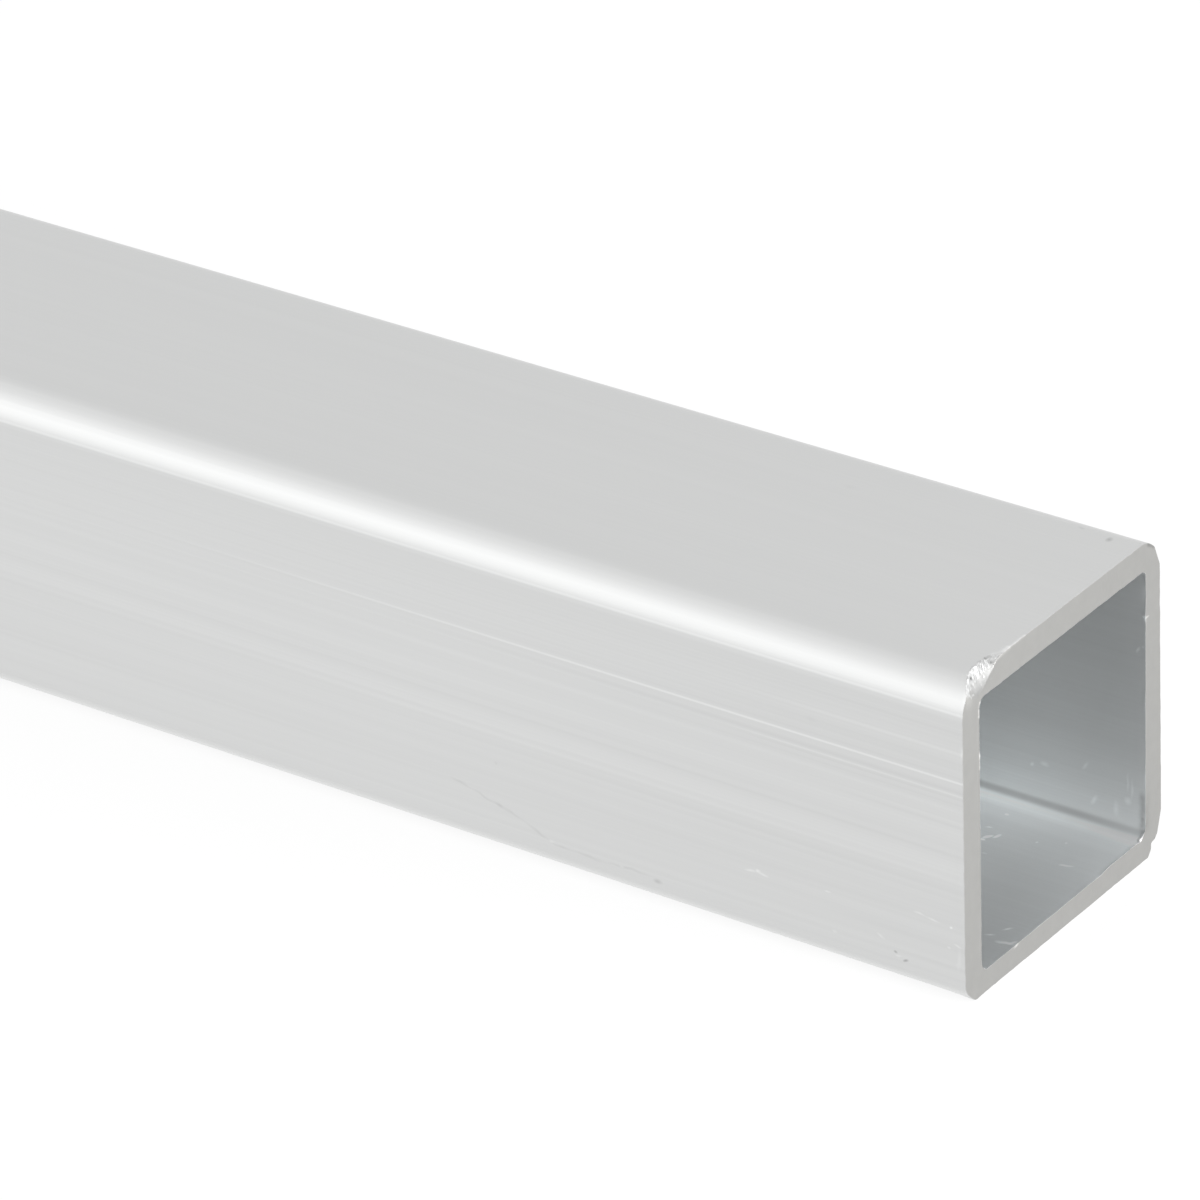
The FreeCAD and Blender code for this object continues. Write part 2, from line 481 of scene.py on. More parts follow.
    def cut_rows(self, bevel_rows: int, face_rows: int) -> list[Array]:
        """Lay the rows from the outside over a cut face and into the bore.

        Each bevel is a quarter round. A row is (x, share, outer inset, inner
        inset, cut): share is 0 outside and 1 in the bore, an inset the depth
        below that loop, and cut the share of cut metal.

        Args:
            bevel_rows: how many rows go over each bevel.
            face_rows: how many steps go across the face.

        Returns:
            Three tables of rows: outer bevel, face and inner bevel.
        """
        turn = np.linspace(0, pi / 2, bevel_rows + 1)[1:]
        low, high = 1 - np.cos(turn), 1 - np.sin(turn)
        flat = np.linspace(0, 1, face_rows + 1)[1:-1]
        outer, inner = self.outer_bevel, self.inner_bevel
        over = table_of(END - outer * high, 0.0, outer * low, inner, turn / (pi / 2))
        face = table_of(np.full_like(flat, END), flat, outer, inner, 1.0)
        under = table_of(END - inner * high, 1.0, outer, inner * low, turn / (pi / 2))
        return [over, face, under[::-1]]

    def rows(self) -> Array:
        """Lay the rows along the skin, as one closed round trip.

        The trip runs over the outside to the +X end, across the cut face and
        back through the bore. Rows stand close beside the +X cut, then at
        growing steps.

        Returns:
            Rows as cut_rows gives them.
        """
        out_count, in_count = self.close_rows
        far = np.geomspace(self.far_first, self.length - self.far_gap, self.far_rows)
        outside = [self.outer_step * np.arange(out_count), far, [self.length - 2 * self.outer_bevel]]
        inside = [self.inner_step * np.arange(in_count), far, [self.length - 2 * self.inner_bevel]]
        outside, inside = np.concatenate(outside), np.concatenate(inside)
        skin = table_of((END - self.outer_bevel - outside)[::-1], 0.0, 0.0, 0.0, 0.0)
        bore = table_of(END - self.inner_bevel - inside, 1.0, 0.0, 0.0, 0.0)
        mirror = np.array([-1.0, 1.0, 1.0, 1.0, 1.0])
        far_end = np.concatenate(self.cut_rows(*self.far_cut))[::-1] * mirror
        return np.concatenate([skin, *self.cut_rows(*self.near_cut), bore, far_end])

    def build(self) -> bpy.types.Object:
        """Carry the closed row path round the section and mesh it.

        A point is the mix, by the row's share, of the outer loop moved in by
        the row's outer inset and the bore's loop moved out by its inner one.

        Returns:
            The tube's object.
        """
        flat, arcs = self.columns()
        rows = self.rows()
        outer, out = Loop(self.side, self.outer_radii, self.outer_insets).trace(flat, arcs)
        bore_side = self.side - 2 * self.wall
        inner, out_inner = Loop(bore_side, self.inner_radii, self.bore_insets).trace(flat, arcs)
        half = self.side / 2
        outer[:, 0] *= 1 - self.outer_lean * outer[:, 1] / half ** 2
        inner[:, 0] += self.bore_skew * inner[:, 1] / half
        x, share, drop_outer, drop_inner, cut = (rows[:, i, None] for i in range(5))

        ridge = np.zeros(len(outer))
        for middle, wide in self.die_ridges:
            ridge += np.exp(-((outer[:, 1] + half - middle) / wide) ** 2)
        on_front = outer[:, 0] < -half + self.ridge_band
        outer = outer + out * (ridge * on_front * self.ridge_rise)[:, None]

        outside = outer[None] - drop_outer[..., None] * out[None]
        inside = inner[None] + drop_inner[..., None] * out_inner[None]
        section = outside + (inside - outside) * share[..., None]
        facing = out[None] * (1 - share[..., None]) - out_inner[None] * share[..., None]
        shape = section.shape[:2]
        place = np.empty(shape + (3,))
        place[..., 0] = x
        place[..., 1] = section[..., 0]
        place[..., 2] = section[..., 1] + half
        place = self.wobble(place.reshape(-1, 3), facing.reshape(-1, 2))

        skin = {
            "cut": np.broadcast_to(cut, shape).ravel().copy(),
            "bore": np.broadcast_to(smooth(*self.bore_share, share), shape).ravel().copy(),
            "wear_and_painted_light": np.zeros(shape[0] * shape[1]),
        }
        place = self.damage(place, outer + np.array([0.0, half]), skin)
        tube = mesh_object("square_tube_skin", place * MM, wrapped_quads(*shape), skin)
        shade_smooth(tube)
        return tube

    def wobble(self, place: Array, facing: Array) -> Array:
        """Make the sawn edges a little uneven.

        The edge moves along its own section normal by a ripple that fades as a
        bell of the distance behind the cut.

        Args:
            place: points as rows of (x, y, z).
            facing: the section normals as rows of (y, z).

        Returns:
            The moved points.
        """
        rise, wavelength, reach = self.edge_wobble
        back = END - place[:, 0]
        shift = rise * ripple(place, wavelength, seed=3) * np.exp(-(back / reach) ** 2)
        moved = place.copy()
        moved[:, 1:] += shift[:, None] * facing
        return moved

    def damage(self, place: Array, outline: Array, skin: dict[str, Array]) -> Array:
        """File the corner back and add each nick, with painted shadows and highlights among them.

        Args:
            place: points as rows of (x, y, z).
            outline: the section's outline as rows of (y, z).
            skin: masks of the skin. "filed" is added and "worn" filled.

        Returns:
            The moved points.
        """
        place = self.facet.apply(place, outline, skin)
        for flat in self.flats:
            place = flat.apply(place, self.side / 2)
        share, wavelength = self.tone_uneven
        uneven = 1 + share * ripple(place, wavelength, seed=8)
        shift = np.zeros_like(place)
        # Each moves the skin and adds its tone; a few only add tone, as painted shadow or highlight
        for nick in self.nicks_and_painted_light:
            weight = nick.weight(place)
            shift += weight[:, None] * np.array(nick.move)
            skin["wear_and_painted_light"] += weight * nick.tone * uneven
        place = place + shift
        place[:, 0] = np.minimum(place[:, 0], END + self.outer_bevel)
        place[:, 2] = np.maximum(place[:, 2], 0.0)
        return place


def table_of(*columns: Any) -> Array:
    """Join columns, or single numbers that repeat, into one table."""
    return np.stack(np.broadcast_arrays(*columns), axis=1)


def wrapped_quads(rows: int, columns: int) -> Array:
    """Faces of a grid that closes on itself both ways.

    Corner (r, c) is vertex r * columns + c. Each face joins a corner to the
    next one along the row, the diagonal one and the next one up the column,
    each counted round the grid.

    Args:
        rows: how many rows the grid has.
        columns: how many columns it has.

    Returns:
        Vertex numbers, four to a row.
    """
    r, c = np.meshgrid(np.arange(rows), np.arange(columns), indexing="ij")
    up, on = (r + 1) % rows, (c + 1) % columns
    corners = [r * columns + c, r * columns + on, up * columns + on, up * columns + c]
    return np.stack([corner.ravel() for corner in corners], axis=1)


def mesh_object(name: str, points: Array, faces: Array, masks: dict[str, Array]) -> bpy.types.Object:
    """Make a mesh object from whole arrays.

    Args:
        name: the object's name.
        points: vertex places in metres, as rows of (x, y, z).
        faces: vertex numbers, four to a row, anticlockwise from outside.
        masks: a value from 0 to 1 for each vertex, by attribute name.

    Returns:
        The new object, linked to the scene.
    """
    mesh = bpy.data.meshes.new(name)
    mesh.vertices.add(len(points))
    mesh.vertices.foreach_set("co", points.astype(np.float32).ravel())
    mesh.loops.add(faces.size)
    mesh.loops.foreach_set("vertex_index", faces.astype(np.int32).ravel())
    mesh.polygons.add(len(faces))
    mesh.polygons.foreach_set("loop_start", np.arange(0, faces.size, 4, dtype=np.int32))
    mesh.update(calc_edges=True)
    for mask, values in masks.items():
        layer = mesh.attributes.new(mask, "FLOAT", "POINT")
        layer.data.foreach_set("value", values.astype(np.float32))
    piece = bpy.data.objects.new(name, mesh)
    bpy.context.scene.collection.objects.link(piece)
    return piece


def shade_smooth(piece: bpy.types.Object) -> None:
    """Shade every face of a piece smoothly."""
    mesh = piece.data
    mesh.polygons.foreach_set("use_smooth", np.ones(len(mesh.polygons), dtype=bool))
    mesh.update()


class Shade:
    """A number socket of a node tree, so that shader maths reads as Python."""

    def __init__(self, tree: "Tree", socket: Socket) -> None:
        """Wrap one output socket of the tree."""
        self.tree = tree
        self.socket = socket

    def __add__(self, other: Number) -> "Shade":
        """This value plus another."""
        return self.tree.maths("ADD", self, other)

    def __sub__(self, other: Number) -> "Shade":
        """This value minus another."""
        return self.tree.maths("SUBTRACT", self, other)

    def __rsub__(self, other: Number) -> "Shade":
        """Another value minus this one."""
        return self.tree.maths("SUBTRACT", other, self)

    def __mul__(self, other: Number) -> "Shade":
        """This value times another."""
        return self.tree.maths("MULTIPLY", self, other)

    __radd__ = __add__
    __rmul__ = __mul__

    def ease(self, low: float, high: float) -> "Shade":
        """Smooth step from 0 at low to 1 at high."""
        node = self.tree.node(
            "ShaderNodeMapRange", {"interpolation_type": "SMOOTHSTEP"},
            {"Value": self, "From Min": low, "From Max": high})
        return Shade(self.tree, node.outputs["Result"])

    def over(self, low: float, high: float) -> "Shade":
        """Smooth step of a length, with the limits in millimetres."""
        return self.ease(low * MM, high * MM)


class Tree:
    """A node tree that is filled by expressions."""

    def __init__(self, nodes: bpy.types.NodeTree) -> None:
        """Empty the tree and keep it."""
        self.nodes = nodes
        nodes.nodes.clear()

    def node(self, kind: str, settings: dict[str, Any], inputs: dict[Any, Any]) -> bpy.types.Node:
        """Add a node, set it up, then fill its sockets.

        Args:
            kind: the node's type.
            settings: properties, set first.
            inputs: socket name or number to a value, Shade or socket.

        Returns:
            The new node.
        """
        node = self.nodes.nodes.new(kind)
        for name, value in settings.items():
            setattr(node, name, value)
        for name, value in inputs.items():
            socket = node.inputs[name]
            source = value.socket if isinstance(value, Shade) else value
            if isinstance(source, Socket):
                self.nodes.links.new(source, socket)
            else:
                socket.default_value = source
        return node

    def maths(self, operation: str, *values: Number) -> Shade:
        """One Math node."""
        node = self.node("ShaderNodeMath", {"operation": operation}, dict(enumerate(values)))
        return Shade(self, node.outputs[0])

    def mask(self, name: str) -> Shade:
        """A mask stored on the mesh."""
        node = self.node("ShaderNodeAttribute", {"attribute_name": name}, {})
        return Shade(self, node.outputs["Fac"])

    def blend(self, share: Number, low: Any, high: Any, how: str = "MIX") -> Socket:
        """Mix two colours by a share from 0 to 1."""
        node = self.node("ShaderNodeMix", {"data_type": "RGBA", "blend_type": how},
                         {"Factor": share, 6: low, 7: high})
        return node.outputs[2]

    def grey(self, value: Shade) -> Socket:
        """The same number in all three channels."""
        node = self.node("ShaderNodeCombineColor", {}, {0: value, 1: value, 2: value})
        return node.outputs[0]

    def noise(self, where: Socket, scale: float, detail: float, rough: float = 0.5) -> Shade:
        """Noise from about 0 to 1."""
        node = self.node("ShaderNodeTexNoise", {"noise_dimensions": "3D"},
                         {"Vector": where, "Scale": scale, "Detail": detail, "Roughness": rough})
        return Shade(self, node.outputs[0])

    def stretched(self, where: Socket, scale: Triple) -> Socket:
        """Coordinates multiplied by a scale for each axis."""
        node = self.node("ShaderNodeVectorMath", {"operation": "MULTIPLY"}, {0: where, 1: scale})
        return node.outputs[0]


class SkinTree(Tree):
    """A material's tree, with the object's coordinates at hand, in metres."""

    def __init__(self, nodes: bpy.types.NodeTree) -> None:
        """Empty the tree and read the coordinates."""
        super().__init__(nodes)
        self.place = self.node("ShaderNodeTexCoord", {}, {}).outputs["Object"]
        split = self.node("ShaderNodeSeparateXYZ", {}, {0: self.place}).outputs
        self.along, self.across, self.height = (Shade(self, split[i]) for i in range(3))


class Face(Enum):
    """Faces that carry marks, as the axis across each and its place on it."""

    FRONT = ("Y", -12.5)
    TOP = ("Z", 25.0)
    BORE_BACK = ("Y", 10.57)
    BORE_FLOOR = ("Z", 1.7)

    def point(self, behind: float, across: float) -> Vector:
        """Turn a place on the face into one in space.

        Args:
            behind: millimetres behind the cut.
            across: z on an upright face, or y on a level one.

        Returns:
            The place in metres.
        """
        axis, level = self.value
        side = (level, across) if axis == "Y" else (across, level)
        return Vector((END - behind, *side)) * MM

    def turned(self, turn: float) -> Triple:
        """Euler angles that turn the x axis by turn within the face."""
        return (0.0, -turn, 0.0) if self.value[0] == "Y" else (0.0, 0.0, turn)

    def spread(self, length: float, width: float) -> Triple:
        """Half sizes in metres along the three axes."""
        through = THROUGH * width
        side = (through, width) if self.value[0] == "Y" else (width, through)
        return (length * MM, side[0] * MM, side[1] * MM)


@dataclass(frozen=True)
class Mark:
    """A soft oval mark, in millimetres behind the cut and across its face."""

    face: Face
    behind: float
    across: float
    length: float
    width: float
    turn: float
    tone: float

    def add(self, tree: Tree, place: Socket, total: Number) -> Shade:
        """Add the mark's tone to the total.

        The mark's share falls evenly from 1 in its middle to 0 at its edge.

        Args:
            tree: the material's tree.
            place: the object's coordinates.
            total: the tone so far.

        Returns:
            The new total.
        """
        oval = tree.node("ShaderNodeMapping", {"vector_type": "TEXTURE"}, {
            "Vector": place, "Location": self.face.point(self.behind, self.across),
            "Rotation": self.face.turned(radians(self.turn)),
            "Scale": self.face.spread(self.length, self.width)})
        share = tree.node("ShaderNodeTexGradient", {"gradient_type": "SPHERICAL"},
                          {"Vector": oval.outputs[0]})
        return tree.maths("MULTIPLY_ADD", Shade(tree, share.outputs["Fac"]), self.tone, total)


def scratch(face: Face, width: float, tone: float, points: Sequence[Pair]) -> list[Mark]:
    """Make one long mark for each run between two points.

    Args:
        face: the face that carries the scratch.
        width: its half width in millimetres.
        tone: what its middle adds to the tone.
        points: its path, as (behind, across).

    Returns:
        The marks.
    """
    marks = []
    for (x0, s0), (x1, s1) in zip(points, points[1:]):
        run = hypot(x1 - x0, s1 - s0)
        turn = degrees(atan2(s1 - s0, x0 - x1))
        marks.append(Mark(face, (x0 + x1) / 2, (s0 + s1) / 2, run * OVERLAP, width, turn, tone))
    return marks


# Scratches, nicks and specks on the walls. A row of three is a scratch: half
# width, tone and path as (behind, across). Any other row is a mark: behind,
# across, half length, half width, turn in degrees and tone.
MARKS: dict[Face, list[tuple[Any, ...]]] = {
    Face.FRONT: [
        (0.16, -0.09, [(42.7, 5.07), (41, 4.66), (38.5, 4), (36.5, 3.33), (34.1, 2.42),
                       (32.4, 2.2), (29.7, 2.25), (25.7, 2.33)]),
        (38.5, 4, 0.5, 0.22, -20, -0.12), (25.2, 2.1, 0.45, 0.3, 0, -0.2),
        (34.2, 2.5, 0.3, 0.15, 20, 0.1), (28.2, 2.3, 0.3, 0.15, 0, 0.1),
        (5.56, 2.66, 0.18, 0.14, 0, -0.4), (4.8, 2.18, 0.32, 0.16, 25, -0.45),
        (5.4, 2.42, 0.28, 0.12, 20, 0.14), (1.3, 4.4, 0.2, 0.14, 0, 0.14),
        (0.1, 0.14, [(0.85, 4.8), (0.3, 4.6)]), (0.16, 0.12, [(7.1, 3.74), (6.4, 3.33)]),
        (0.12, 0.16, [(17.9, 5.32), (16.8, 5.33), (15.9, 5.28)]), (16.7, 5.44, 0.25, 0.15, 0, 0.2),
        (11, 5.66, 0.35, 0.12, 0, 0.14), (0.12, 0.15, [(4.1, 6.27), (3.2, 6.18), (2, 6.17)]),
        (1.1, 5.98, 0.14, 0.14, 0, 0.3), (0.5, 3.6, 0.2, 1.2, 0, 0.07),
        (10.5, 2.75, 0.25, 0.15, 0, 0.1), (38.7, 7.4, 0.2, 0.2, 0, -0.08),
        (12, 18.8, 0.5, 0.3, 0, -0.03),
    ],
    Face.TOP: [
        (2.31, 9.56, 0.25, 0.42, 0, -0.3), (4.84, 10.02, 0.35, 0.2, 0, -0.12),
        (0.14, 0.06, [(9, 10.1), (7.6, 10.3), (5.6, 10.2)]), (21.5, 6.8, 0.8, 0.4, 0, -0.03),
    ],
    Face.BORE_BACK: [
        (9.34, 4.9, 0.25, 0.2, 40, 0.15), (8.24, 5.15, 0.5, 0.25, 0, 0.13),
        (4.93, 6, 0.5, 0.18, 60, 0.14), (4.15, 3.56, 0.6, 0.25, 60, 0.15),
        (2.46, 3.35, 0.24, 0.8, 0, 0.12), (1.44, 4.2, 0.36, 0.4, 0, 0.17),
        (1.5, 5.7, 0.13, 0.9, 0, 0.13), (1.15, 5.3, 0.13, 1, 0, 0.13),
        (0.16, 0.3, [(0.73, 16.2), (0.49, 16.8)]), (0.14, 0.2, [(0.36, 16.9), (0.12, 16.74)]),
        (0.12, 19.15, 0.3, 0.14, 0, 0.9),
    ],
    Face.BORE_FLOOR: [
        (0.2, 0.5, [(9.62, 4.58), (9.25, 5.26)]), (0.17, 0.42, [(9.06, 4.95), (8.8, 5.6)]),
        (9.5, 4.42, 0.22, 0.16, 0, 0.6), (10.1, 6.03, 0.35, 0.12, 35, 0.2),
        (8.44, 2.83, 0.3, 0.12, 0, 0.15), (9.95, 8.15, 0.2, 0.15, 0, 0.25),
        (6.09, 6.04, 0.15, 0.15, 0, 0.25), (4.35, 6.95, 0.15, 0.15, 0, 0.22),
        (2.7, 4.43, 0.6, 0.14, 28, 0.36), (1.6, -4.8, 0.5, 0.17, 40, 0.36),
        (2.2, -6.08, 0.5, 0.16, 30, 0.34), (0.24, 0.44, [(1.45, -6.5), (0.14, -6.34)]),
        (0.2, 0.42, [(0.55, -6.4), (0.09, -5.75)]),
    ],
}


def marks() -> list[Mark]:
    """List every mark, with each scratch taken apart into its runs."""
    found = []
    for face, rows in MARKS.items():
        for row in rows:
            found += scratch(face, *row) if len(row) == 3 else [Mark(face, *row)]
    return found


@dataclass(frozen=True)
class DieLineAndSheen:
    """A line drawn along the front wall by the die, or a broad band of painted highlight, at a height,
    in millimetres.

    It fades in from one distance behind the cut and is full at another.
    """

    height: float
    half_width: float
    tone: float
    starts: float
    full: float

    def add(self, tree: SkinTree, total: Number) -> Shade:
        """Add the line's tone to the total, soft to both sides.

        Args:
            tree: the material's tree.
            total: the tone so far.

        Returns:
            The new total.
        """
        off = tree.maths("ABSOLUTE", tree.height - self.height * MM)
        line = 1 - off.over(0.0, self.half_width)
        fade = tree.along.over(END - self.starts, END - self.full)
        return tree.maths("MULTIPLY_ADD", line * fade, self.tone, total)


@dataclass(frozen=True)
class MillFinish:
    """Mill-finish aluminium: drawn skin, sawn face and duller bore."""

    skin: Triple = (0.688, 0.693, 0.69)
    sawn: Triple = (0.486, 0.484, 0.471)
    filed: Triple = (0.53, 0.532, 0.526)
    fresh: Triple = (0.93, 0.93, 0.93)
    # Bore colour at the mouth and deep in; lighter deep in as painted light
    bore_mouth: Triple = (0.93, 0.95, 0.955)
    bore_deep: Triple = (0.95, 0.972, 0.978)
    skin_roughness: float = 0.36
    sawn_roughness: float = 0.55
    mouth_roughness: float = 0.58
    deep_roughness: float = 0.92
    mouth_depth: float = 14.0
    # The bore's back low corner, as (y, z), where painted light is strongest; it fades towards far_tone
    # up the walls
    bore_corner: Pair = (10.5, 1.7)
    corner_fade: float = 4.5
    # Going across counts this much towards that fade, going up counts as one
    across_share: float = 0.45
    far_tone: float = 0.71
    # Painted shade line along the bore's inner corner: its middle as (y, z), widths and tone
    shaded_crease: Pair = (10.36, 2.04)
    shaded_crease_width: Pair = (0.08, 0.44)
    shaded_crease_tone: float = -0.22
    # Towards the mouth the painted shade line loses this share of its tone
    shaded_crease_ease: float = 0.42
    # Painted shade at the foot of the back wall: tone, up to a height, from a y
    wall_shade: float = 0.03
    foot_height: Pair = (2.5, 3.9)
    foot_across: Pair = (10.0, 10.4)
    # Painted light in the lower bore, lighter near the mouth: tone, height and reach
    painted_mouth_light: float = 0.08
    glow_height: Pair = (3.0, 9.0)
    mouth_reach: float = 7.0
    # Painted light in a strip of the floor beside the shade line: place, half width and tone
    painted_floor_light: Triple = (9.6, 1.1, 0.06)
    strip_height: Pair = (1.9, 2.3)
    # Drawn grain and its broader bands: tone, scale along each axis, roughness
    grain: float = 0.05
    grain_scale: Triple = (8.0, 4500.0, 4500.0)
    band_scale: Triple = (5.0, 600.0, 600.0)
    noise_rough: float = 0.6
    # On the top wall the grain loses this share
    calm: float = 0.5
    calm_height: Pair = (24.6, 24.9)
    # The front wall's own tone sets in over these distances from the middle
    front_edge: Pair = (11.2, 11.9)
    near_tone: float = -0.02
    near_reach: Pair = (50.0, 2.0)
    # The marks' edges wander: scale of the noise and span of the move in metres
    wander_scale: float = 1100.0
    wander: float = 0.0003
    # Mottle of the sawn face
    mottle: float = 0.09
    mottle_scale: float = 900.0
    most_tone: float = 1.45
    # Wear and painted light above this show fresh metal colour
    fresh_from: Pair = (0.45, 0.9)
    # Relief of the grain: strength and depth in metres
    relief: Pair = (0.08, 0.0001)
    # Die lines and broad bands of tone; those at 23.3, 22.7 and 0.7 mm are painted highlight on the
    # rounded corners
    # Height, half width, tone, and where each line sets in and is full
    lines: tuple[tuple[float, ...], ...] = (
        (23.3, 1.4, 0.045, 900, 800), (22.7, 0.9, 0.03, 60, 10), (22.47, 0.17, 0.11, 400, 200),
        (21.45, 0.12, 0.018, 16, 6), (21.1, 0.24, -0.022, 18, 6), (19.57, 0.24, 0.058, 24, 5),
        (18.66, 0.5, -0.022, 26, 10), (17.35, 0.15, 0.15, 80, 18), (17.7, 0.25, -0.024, 55, 12),
        (16.62, 0.28, -0.046, 55, 12), (16.33, 0.11, 0.055, 20, 14), (16.08, 0.16, -0.032, 20, 13),
        (15.66, 0.16, -0.02, 45, 5), (15.1, 0.32, 0.021, 60, 40), (14.25, 0.15, 0.022, 12, 3),
        (13.92, 0.2, -0.032, 14, 3), (11.62, 0.2, -0.027, 160, 12), (9.63, 0.28, 0.024, 60, 45),
        (8.87, 0.28, -0.027, 70, 8), (8.25, 0.25, -0.02, 60, 12), (6.3, 0.3, -0.016, 60, 12),
        (5.35, 0.42, 0.021, 30, 8), (4.4, 0.36, -0.03, 14, 5), (2.9, 0.26, -0.026, 9, 2),
        (2.05, 0.25, -0.014, 25, 5), (0.7, 0.8, 0.13, 900, 800), (10.4, 1.2, 0.032, 900, 800),
        (13.4, 0.9, 0.024, 900, 800),
    )

    def wall_tone(self, tree: SkinTree) -> Shade:
        """Tone of the drawn skin and the bore, about 1.

        The grain is noise stretched along the tube. The front wall adds its die
        lines and broad painted highlight bands on its rounded corners, and grows a
        little darker towards the cut.

        Args:
            tree: the material's tree.

        Returns:
            The tone.
        """
        grain = tree.noise(tree.stretched(tree.place, self.grain_scale), 1.0, 1.0, self.noise_rough)
        bands = tree.noise(tree.stretched(tree.place, self.band_scale), 1.0, 1.0)
        calm = 1 - self.calm * tree.height.over(*self.calm_height)
        tone = 1 + self.grain * calm * (grain + bands - 1)
        on_front = (-1 * tree.across).over(*self.front_edge)
        far, near = self.near_reach
        # Die lines and painted highlight bands on the rounded corners, darker towards the cut
        drawn = self.near_tone * tree.along.over(END - far, END - near)
        for line in self.lines:
            drawn = DieLineAndSheen(*line).add(tree, drawn)
        return tone + on_front * drawn

    def mark_tone(self, tree: SkinTree) -> Number:
        """Tone added by the marks, whose edges wander a little.

        Args:
            tree: the material's tree.

        Returns:
            The tone.
        """
        noise = tree.node("ShaderNodeTexNoise", {}, {
            "Vector": tree.place, "Scale": self.wander_scale, "Detail": 0.0})
        shift = tree.node("ShaderNodeVectorMath", {"operation": "MULTIPLY_ADD"}, {
            0: noise.outputs["Color"], 1: (self.wander,) * 3, 2: (-self.wander / 2,) * 3})
        uneven = tree.node("ShaderNodeVectorMath", {"operation": "ADD"}, {
            0: tree.place, 1: shift.outputs[0]}).outputs[0]
        total: Number = 0.0
        for mark in marks():
            total = mark.add(tree, uneven, total)
        return total

    def bore_colour(self, tree: SkinTree, deep: Shade) -> Socket:
        """Colour in the bore, with painted light and shade: darker up the walls, with a shade line in
        the corner.

        Args:
            tree: the material's tree.
            deep: 0 at the mouths and 1 deep in the bore.

        Returns:
            The colour.
        """
        along, across, height = tree.along, tree.across, tree.height
        # Lighter deep in, as painted light
        colour = tree.blend(deep, (*self.bore_mouth, 1.0), (*self.bore_deep, 1.0))
        # Painted light: lightest at the back low corner, darker up the walls
        corner_across, corner_height = self.bore_corner
        away = (corner_across * MM - across) * self.across_share + (height - corner_height * MM)
        corner_light = tree.maths("EXPONENT", away * (-1 / (self.corner_fade * MM)))
        # Painted shade along the inner corner, weaker towards the mouth
        side, up = across - self.shaded_crease[0] * MM, height - self.shaded_crease[1] * MM
        off = tree.maths("SQRT", side * side + up * up)
        mouth = along.over(END - self.mouth_reach, END)
        shaded_crease = 1 - off.over(*self.shaded_crease_width)
        shaded_crease = shaded_crease * (1 - self.shaded_crease_ease * mouth)
        tone = self.far_tone + (1 - self.far_tone) * corner_light
        # Painted shade at the foot of the back wall
        foot = (1 - height.over(*self.foot_height)) * across.over(*self.foot_across)
        # Painted light on a floor strip and in the lower bore near the mouth
        strip, half_width, strip_tone = self.painted_floor_light
        beside = tree.maths("ABSOLUTE", across - strip * MM)
        beside = (1 - beside.over(0.0, half_width)) * (1 - height.over(*self.strip_height))
        tone = tone * (1 + self.shaded_crease_tone * shaded_crease) * (1 - self.wall_shade * foot)
        low = mouth * (1 - height.over(*self.glow_height))
        tone = tone * (1 + strip_tone * beside + self.painted_mouth_light * low)
        return tree.blend(1.0, colour, tree.grey(tone), "MULTIPLY")

    def build(self) -> bpy.types.Material:
        """Make the material.

        Returns:
            The material, for every part of the tube's skin.
        """
        material = bpy.data.materials.new("mill_aluminium")
        material.use_nodes = True
        tree = SkinTree(material.node_tree)
        cut, bore, filed, wear_and_painted_light = (tree.mask(name) for name in ("cut", "bore", "filed", "wear_and_painted_light"))
        sawn = cut * (1 - filed)
        deep = 1 - tree.maths("ABSOLUTE", tree.along).over(END - self.mouth_depth, END)

        mottle = tree.noise(tree.place, self.mottle_scale, 2.0, self.noise_rough) - 0.5
        tone = self.wall_tone(tree)
        tone = tone + (self.mottle * mottle - (tone - 1)) * sawn
        # Add wear with painted shadows and highlights from the mesh, then the marks
        tone = tone + wear_and_painted_light + self.mark_tone(tree)
        tone = tree.maths("MINIMUM", tone, self.most_tone)
        bright = wear_and_painted_light.ease(*self.fresh_from)

        inside = self.bore_colour(tree, deep)
        colour = tree.blend(bore, (*self.skin, 1.0), inside)
        colour = tree.blend(cut, colour, (*self.sawn, 1.0))
        colour = tree.blend(filed, colour, (*self.filed, 1.0))
        colour = tree.blend(1.0, colour, tree.grey(tone), "MULTIPLY")
        colour = tree.blend(bright, colour, (*self.fresh, 1.0))

        inner_rough = self.mouth_roughness + (self.deep_roughness - self.mouth_roughness) * deep
        rough = self.skin_roughness + (inner_rough - self.skin_roughness) * bore
        rough = rough + (self.sawn_roughness - self.skin_roughness) * cut
        fine = tree.noise(tree.stretched(tree.place, self.grain_scale), 1.0, 0.0)
        strength, depth = self.relief
        relief = tree.node("ShaderNodeBump", {}, {
            "Strength": strength, "Distance": depth, "Height": fine})

        shader = tree.node("ShaderNodeBsdfPrincipled", {}, {
            "Metallic": 1.0, "Base Color": colour, "Roughness": rough,
            "Normal": relief.outputs["Normal"]})
        tree.node("ShaderNodeOutputMaterial", {}, {"Surface": shader.outputs[0]})
        return material


def compass(heading: float, height: float) -> Vector:
    """Point to a heading, counted from -Y towards +X, and a height.

    Args:
        heading: turn in degrees.
        height: degrees above the floor.

    Returns:
        The direction, of length 1.
    """
    turn, lift = radians(heading), radians(height)
    return Vector((sin(turn) * cos(lift), -cos(turn) * cos(lift), sin(lift)))


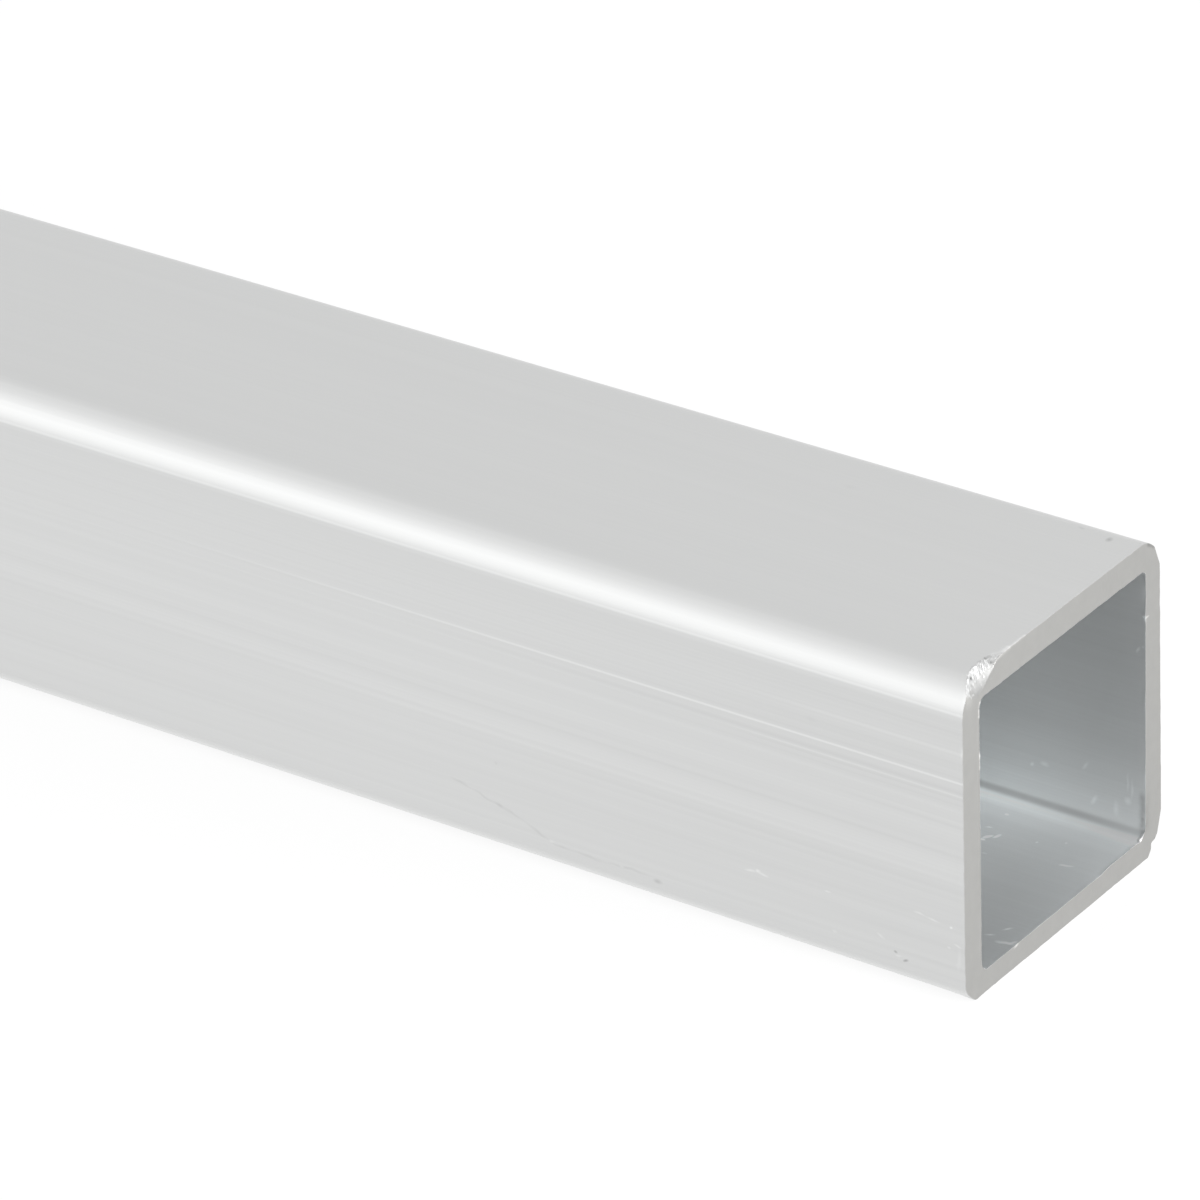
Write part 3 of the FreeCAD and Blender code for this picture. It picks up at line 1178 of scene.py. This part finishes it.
@dataclass(frozen=True)
class Softbox:
    """A plain square-cornered lamp, hidden from the camera.

    It spans the heights from low to high, in degrees above the floor as seen
    from the point that it lights, and stands in the given compass heading.
    """

    name: str
    lit: Triple
    heading: float
    low: float
    high: float
    distance: float
    width: float
    radiance: float

    def build(self) -> None:
        """Hang the lamp. Its power is radiance times area times pi."""
        away = compass(self.heading, (self.low + self.high) / 2)
        lamp = bpy.data.lights.new(self.name, "AREA")
        lamp.shape = "RECTANGLE"
        lamp.size = self.width
        lamp.size_y = 2 * self.distance * tan(radians((self.high - self.low) / 2))
        lamp.energy = self.radiance * lamp.size * lamp.size_y * pi
        piece = bpy.data.objects.new(self.name, lamp)
        piece.location = Vector(self.lit) + away * self.distance
        piece.rotation_euler = (-away).to_track_quat("-Z", "Y").to_euler()
        piece.visible_camera = False
        bpy.context.scene.collection.objects.link(piece)


@dataclass(frozen=True)
class Studio:
    """Pale floor, even pale surroundings and soft lamps."""

    floor_size: float = 60.0
    floor_colour: float = 0.85
    floor_white: float = 0.8
    # The floor's white is stronger by this for the camera
    camera_white: float = 0.05
    surround: float = 0.892
    softboxes: tuple[Softbox, ...] = (
        Softbox("front_low_softbox", (-0.1, 0.0, 0.0225), -32.0, -1.0, 45.0, 1.0, 1.9, 0.58),
        Softbox("front_mid_softbox", (-0.1, 0.0, 0.0225), -32.0, 45.0, 62.0, 1.0, 1.9, 0.29),
        Softbox("front_high_softbox", (-0.1, 0.0, 0.0225), -32.0, 62.0, 85.0, 1.0, 1.9, 0.16),
        Softbox("end_softbox", (0.5, 0.0, 0.0125), 146.0, 20.0, 50.0, 1.2, 0.8, 0.5),
        Softbox("mouth_softbox", (0.485, 0.0, 0.0125), 80.0, 5.0, 40.0, 0.12, 0.075, 4.3),
    )

    def floor(self) -> None:
        """Lay the floor: matt, with white added for camera and mirror rays."""
        half = self.floor_size / 2
        corners = np.array([[-half, -half, 0], [half, -half, 0], [half, half, 0], [-half, half, 0]])
        floor = mesh_object("floor", corners, np.array([[0, 1, 2, 3]]), {})
        material = bpy.data.materials.new("pale_floor")
        material.use_nodes = True
        tree = Tree(material.node_tree)
        path = tree.node("ShaderNodeLightPath", {}, {}).outputs
        seen = Shade(tree, path["Is Camera Ray"])
        mirrored = tree.maths("MAXIMUM", Shade(tree, path["Is Glossy Ray"]),
                              Shade(tree, path["Is Transmission Ray"]))
        grey = (self.floor_colour,) * 3 + (1.0,)
        matt = tree.node("ShaderNodeBsdfDiffuse", {}, {"Color": grey})
        white = tree.node("ShaderNodeEmission", {}, {"Strength": 1.0 + self.camera_white * seen})
        mixed = tree.node("ShaderNodeMixShader", {}, {
            0: seen * self.floor_white + mirrored, 1: matt.outputs[0], 2: white.outputs[0]})
        tree.node("ShaderNodeOutputMaterial", {}, {"Surface": mixed.outputs[0]})
        floor.data.materials.append(material)

    def surroundings(self) -> None:
        """Set the world: white to the camera, a little darker to the metal."""
        world = bpy.data.worlds.new("surroundings")
        bpy.context.scene.world = world
        world.use_nodes = True
        tree = Tree(world.node_tree)
        path = tree.node("ShaderNodeLightPath", {}, {}).outputs
        seen = Shade(tree, path["Is Camera Ray"])
        light = tree.node("ShaderNodeBackground", {}, {
            "Color": (1.0, 1.0, 1.0, 1.0), "Strength": self.surround + (1 - self.surround) * seen})
        tree.node("ShaderNodeOutputWorld", {}, {"Surface": light.outputs[0]})

    def build(self) -> None:
        """Set up everything around the tube."""
        self.floor()
        self.surroundings()
        for softbox in self.softboxes:
            softbox.build()
        bpy.context.scene.view_settings.view_transform = "Standard"


@dataclass(frozen=True)
class Viewpoint:
    """The photograph's camera, by what it looks at and from where."""

    target: Triple = (0.4708115, -0.0124815, 0.022966)
    azimuth: float = 36.163
    elevation: float = 28.8005
    roll: float = -2.279
    distance: float = 0.550185
    lens: float = 243.31
    sensor: float = 36.0
    nearest: float = 0.01

    def build(self) -> None:
        """Place the camera and make it the scene's own."""
        back = compass(self.azimuth, self.elevation)
        right = (-back).cross(Vector((0.0, 0.0, 1.0))).normalized()
        up = back.cross(right)
        axes = Matrix((right, up, back)).transposed()
        data = bpy.data.cameras.new("viewpoint")
        data.lens = self.lens
        data.sensor_width = self.sensor
        data.clip_start = self.nearest
        camera = bpy.data.objects.new("viewpoint", data)
        turned = axes @ Matrix.Rotation(radians(self.roll), 3, "Z")
        stand = Matrix.Translation(Vector(self.target) + back * self.distance)
        camera.matrix_world = stand @ turned.to_4x4()
        bpy.context.scene.collection.objects.link(camera)
        bpy.context.scene.camera = camera


def report(piece: bpy.types.Object) -> None:
    """Log a piece's name and how many faces it has."""
    LOG.info("%s: %d faces", piece.name, len(piece.data.polygons))


def main() -> None:
    """Build the tube, its surroundings and the viewpoint."""
    logging.basicConfig(level=logging.INFO, format="%(name)s %(message)s")
    tube = SquareTube().build()
    tube.data.materials.append(MillFinish().build())
    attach(tube, "root")
    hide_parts(NODE)
    report(tube)
    Studio().build()
    Viewpoint().build()


if __name__ == "__main__":
    main()
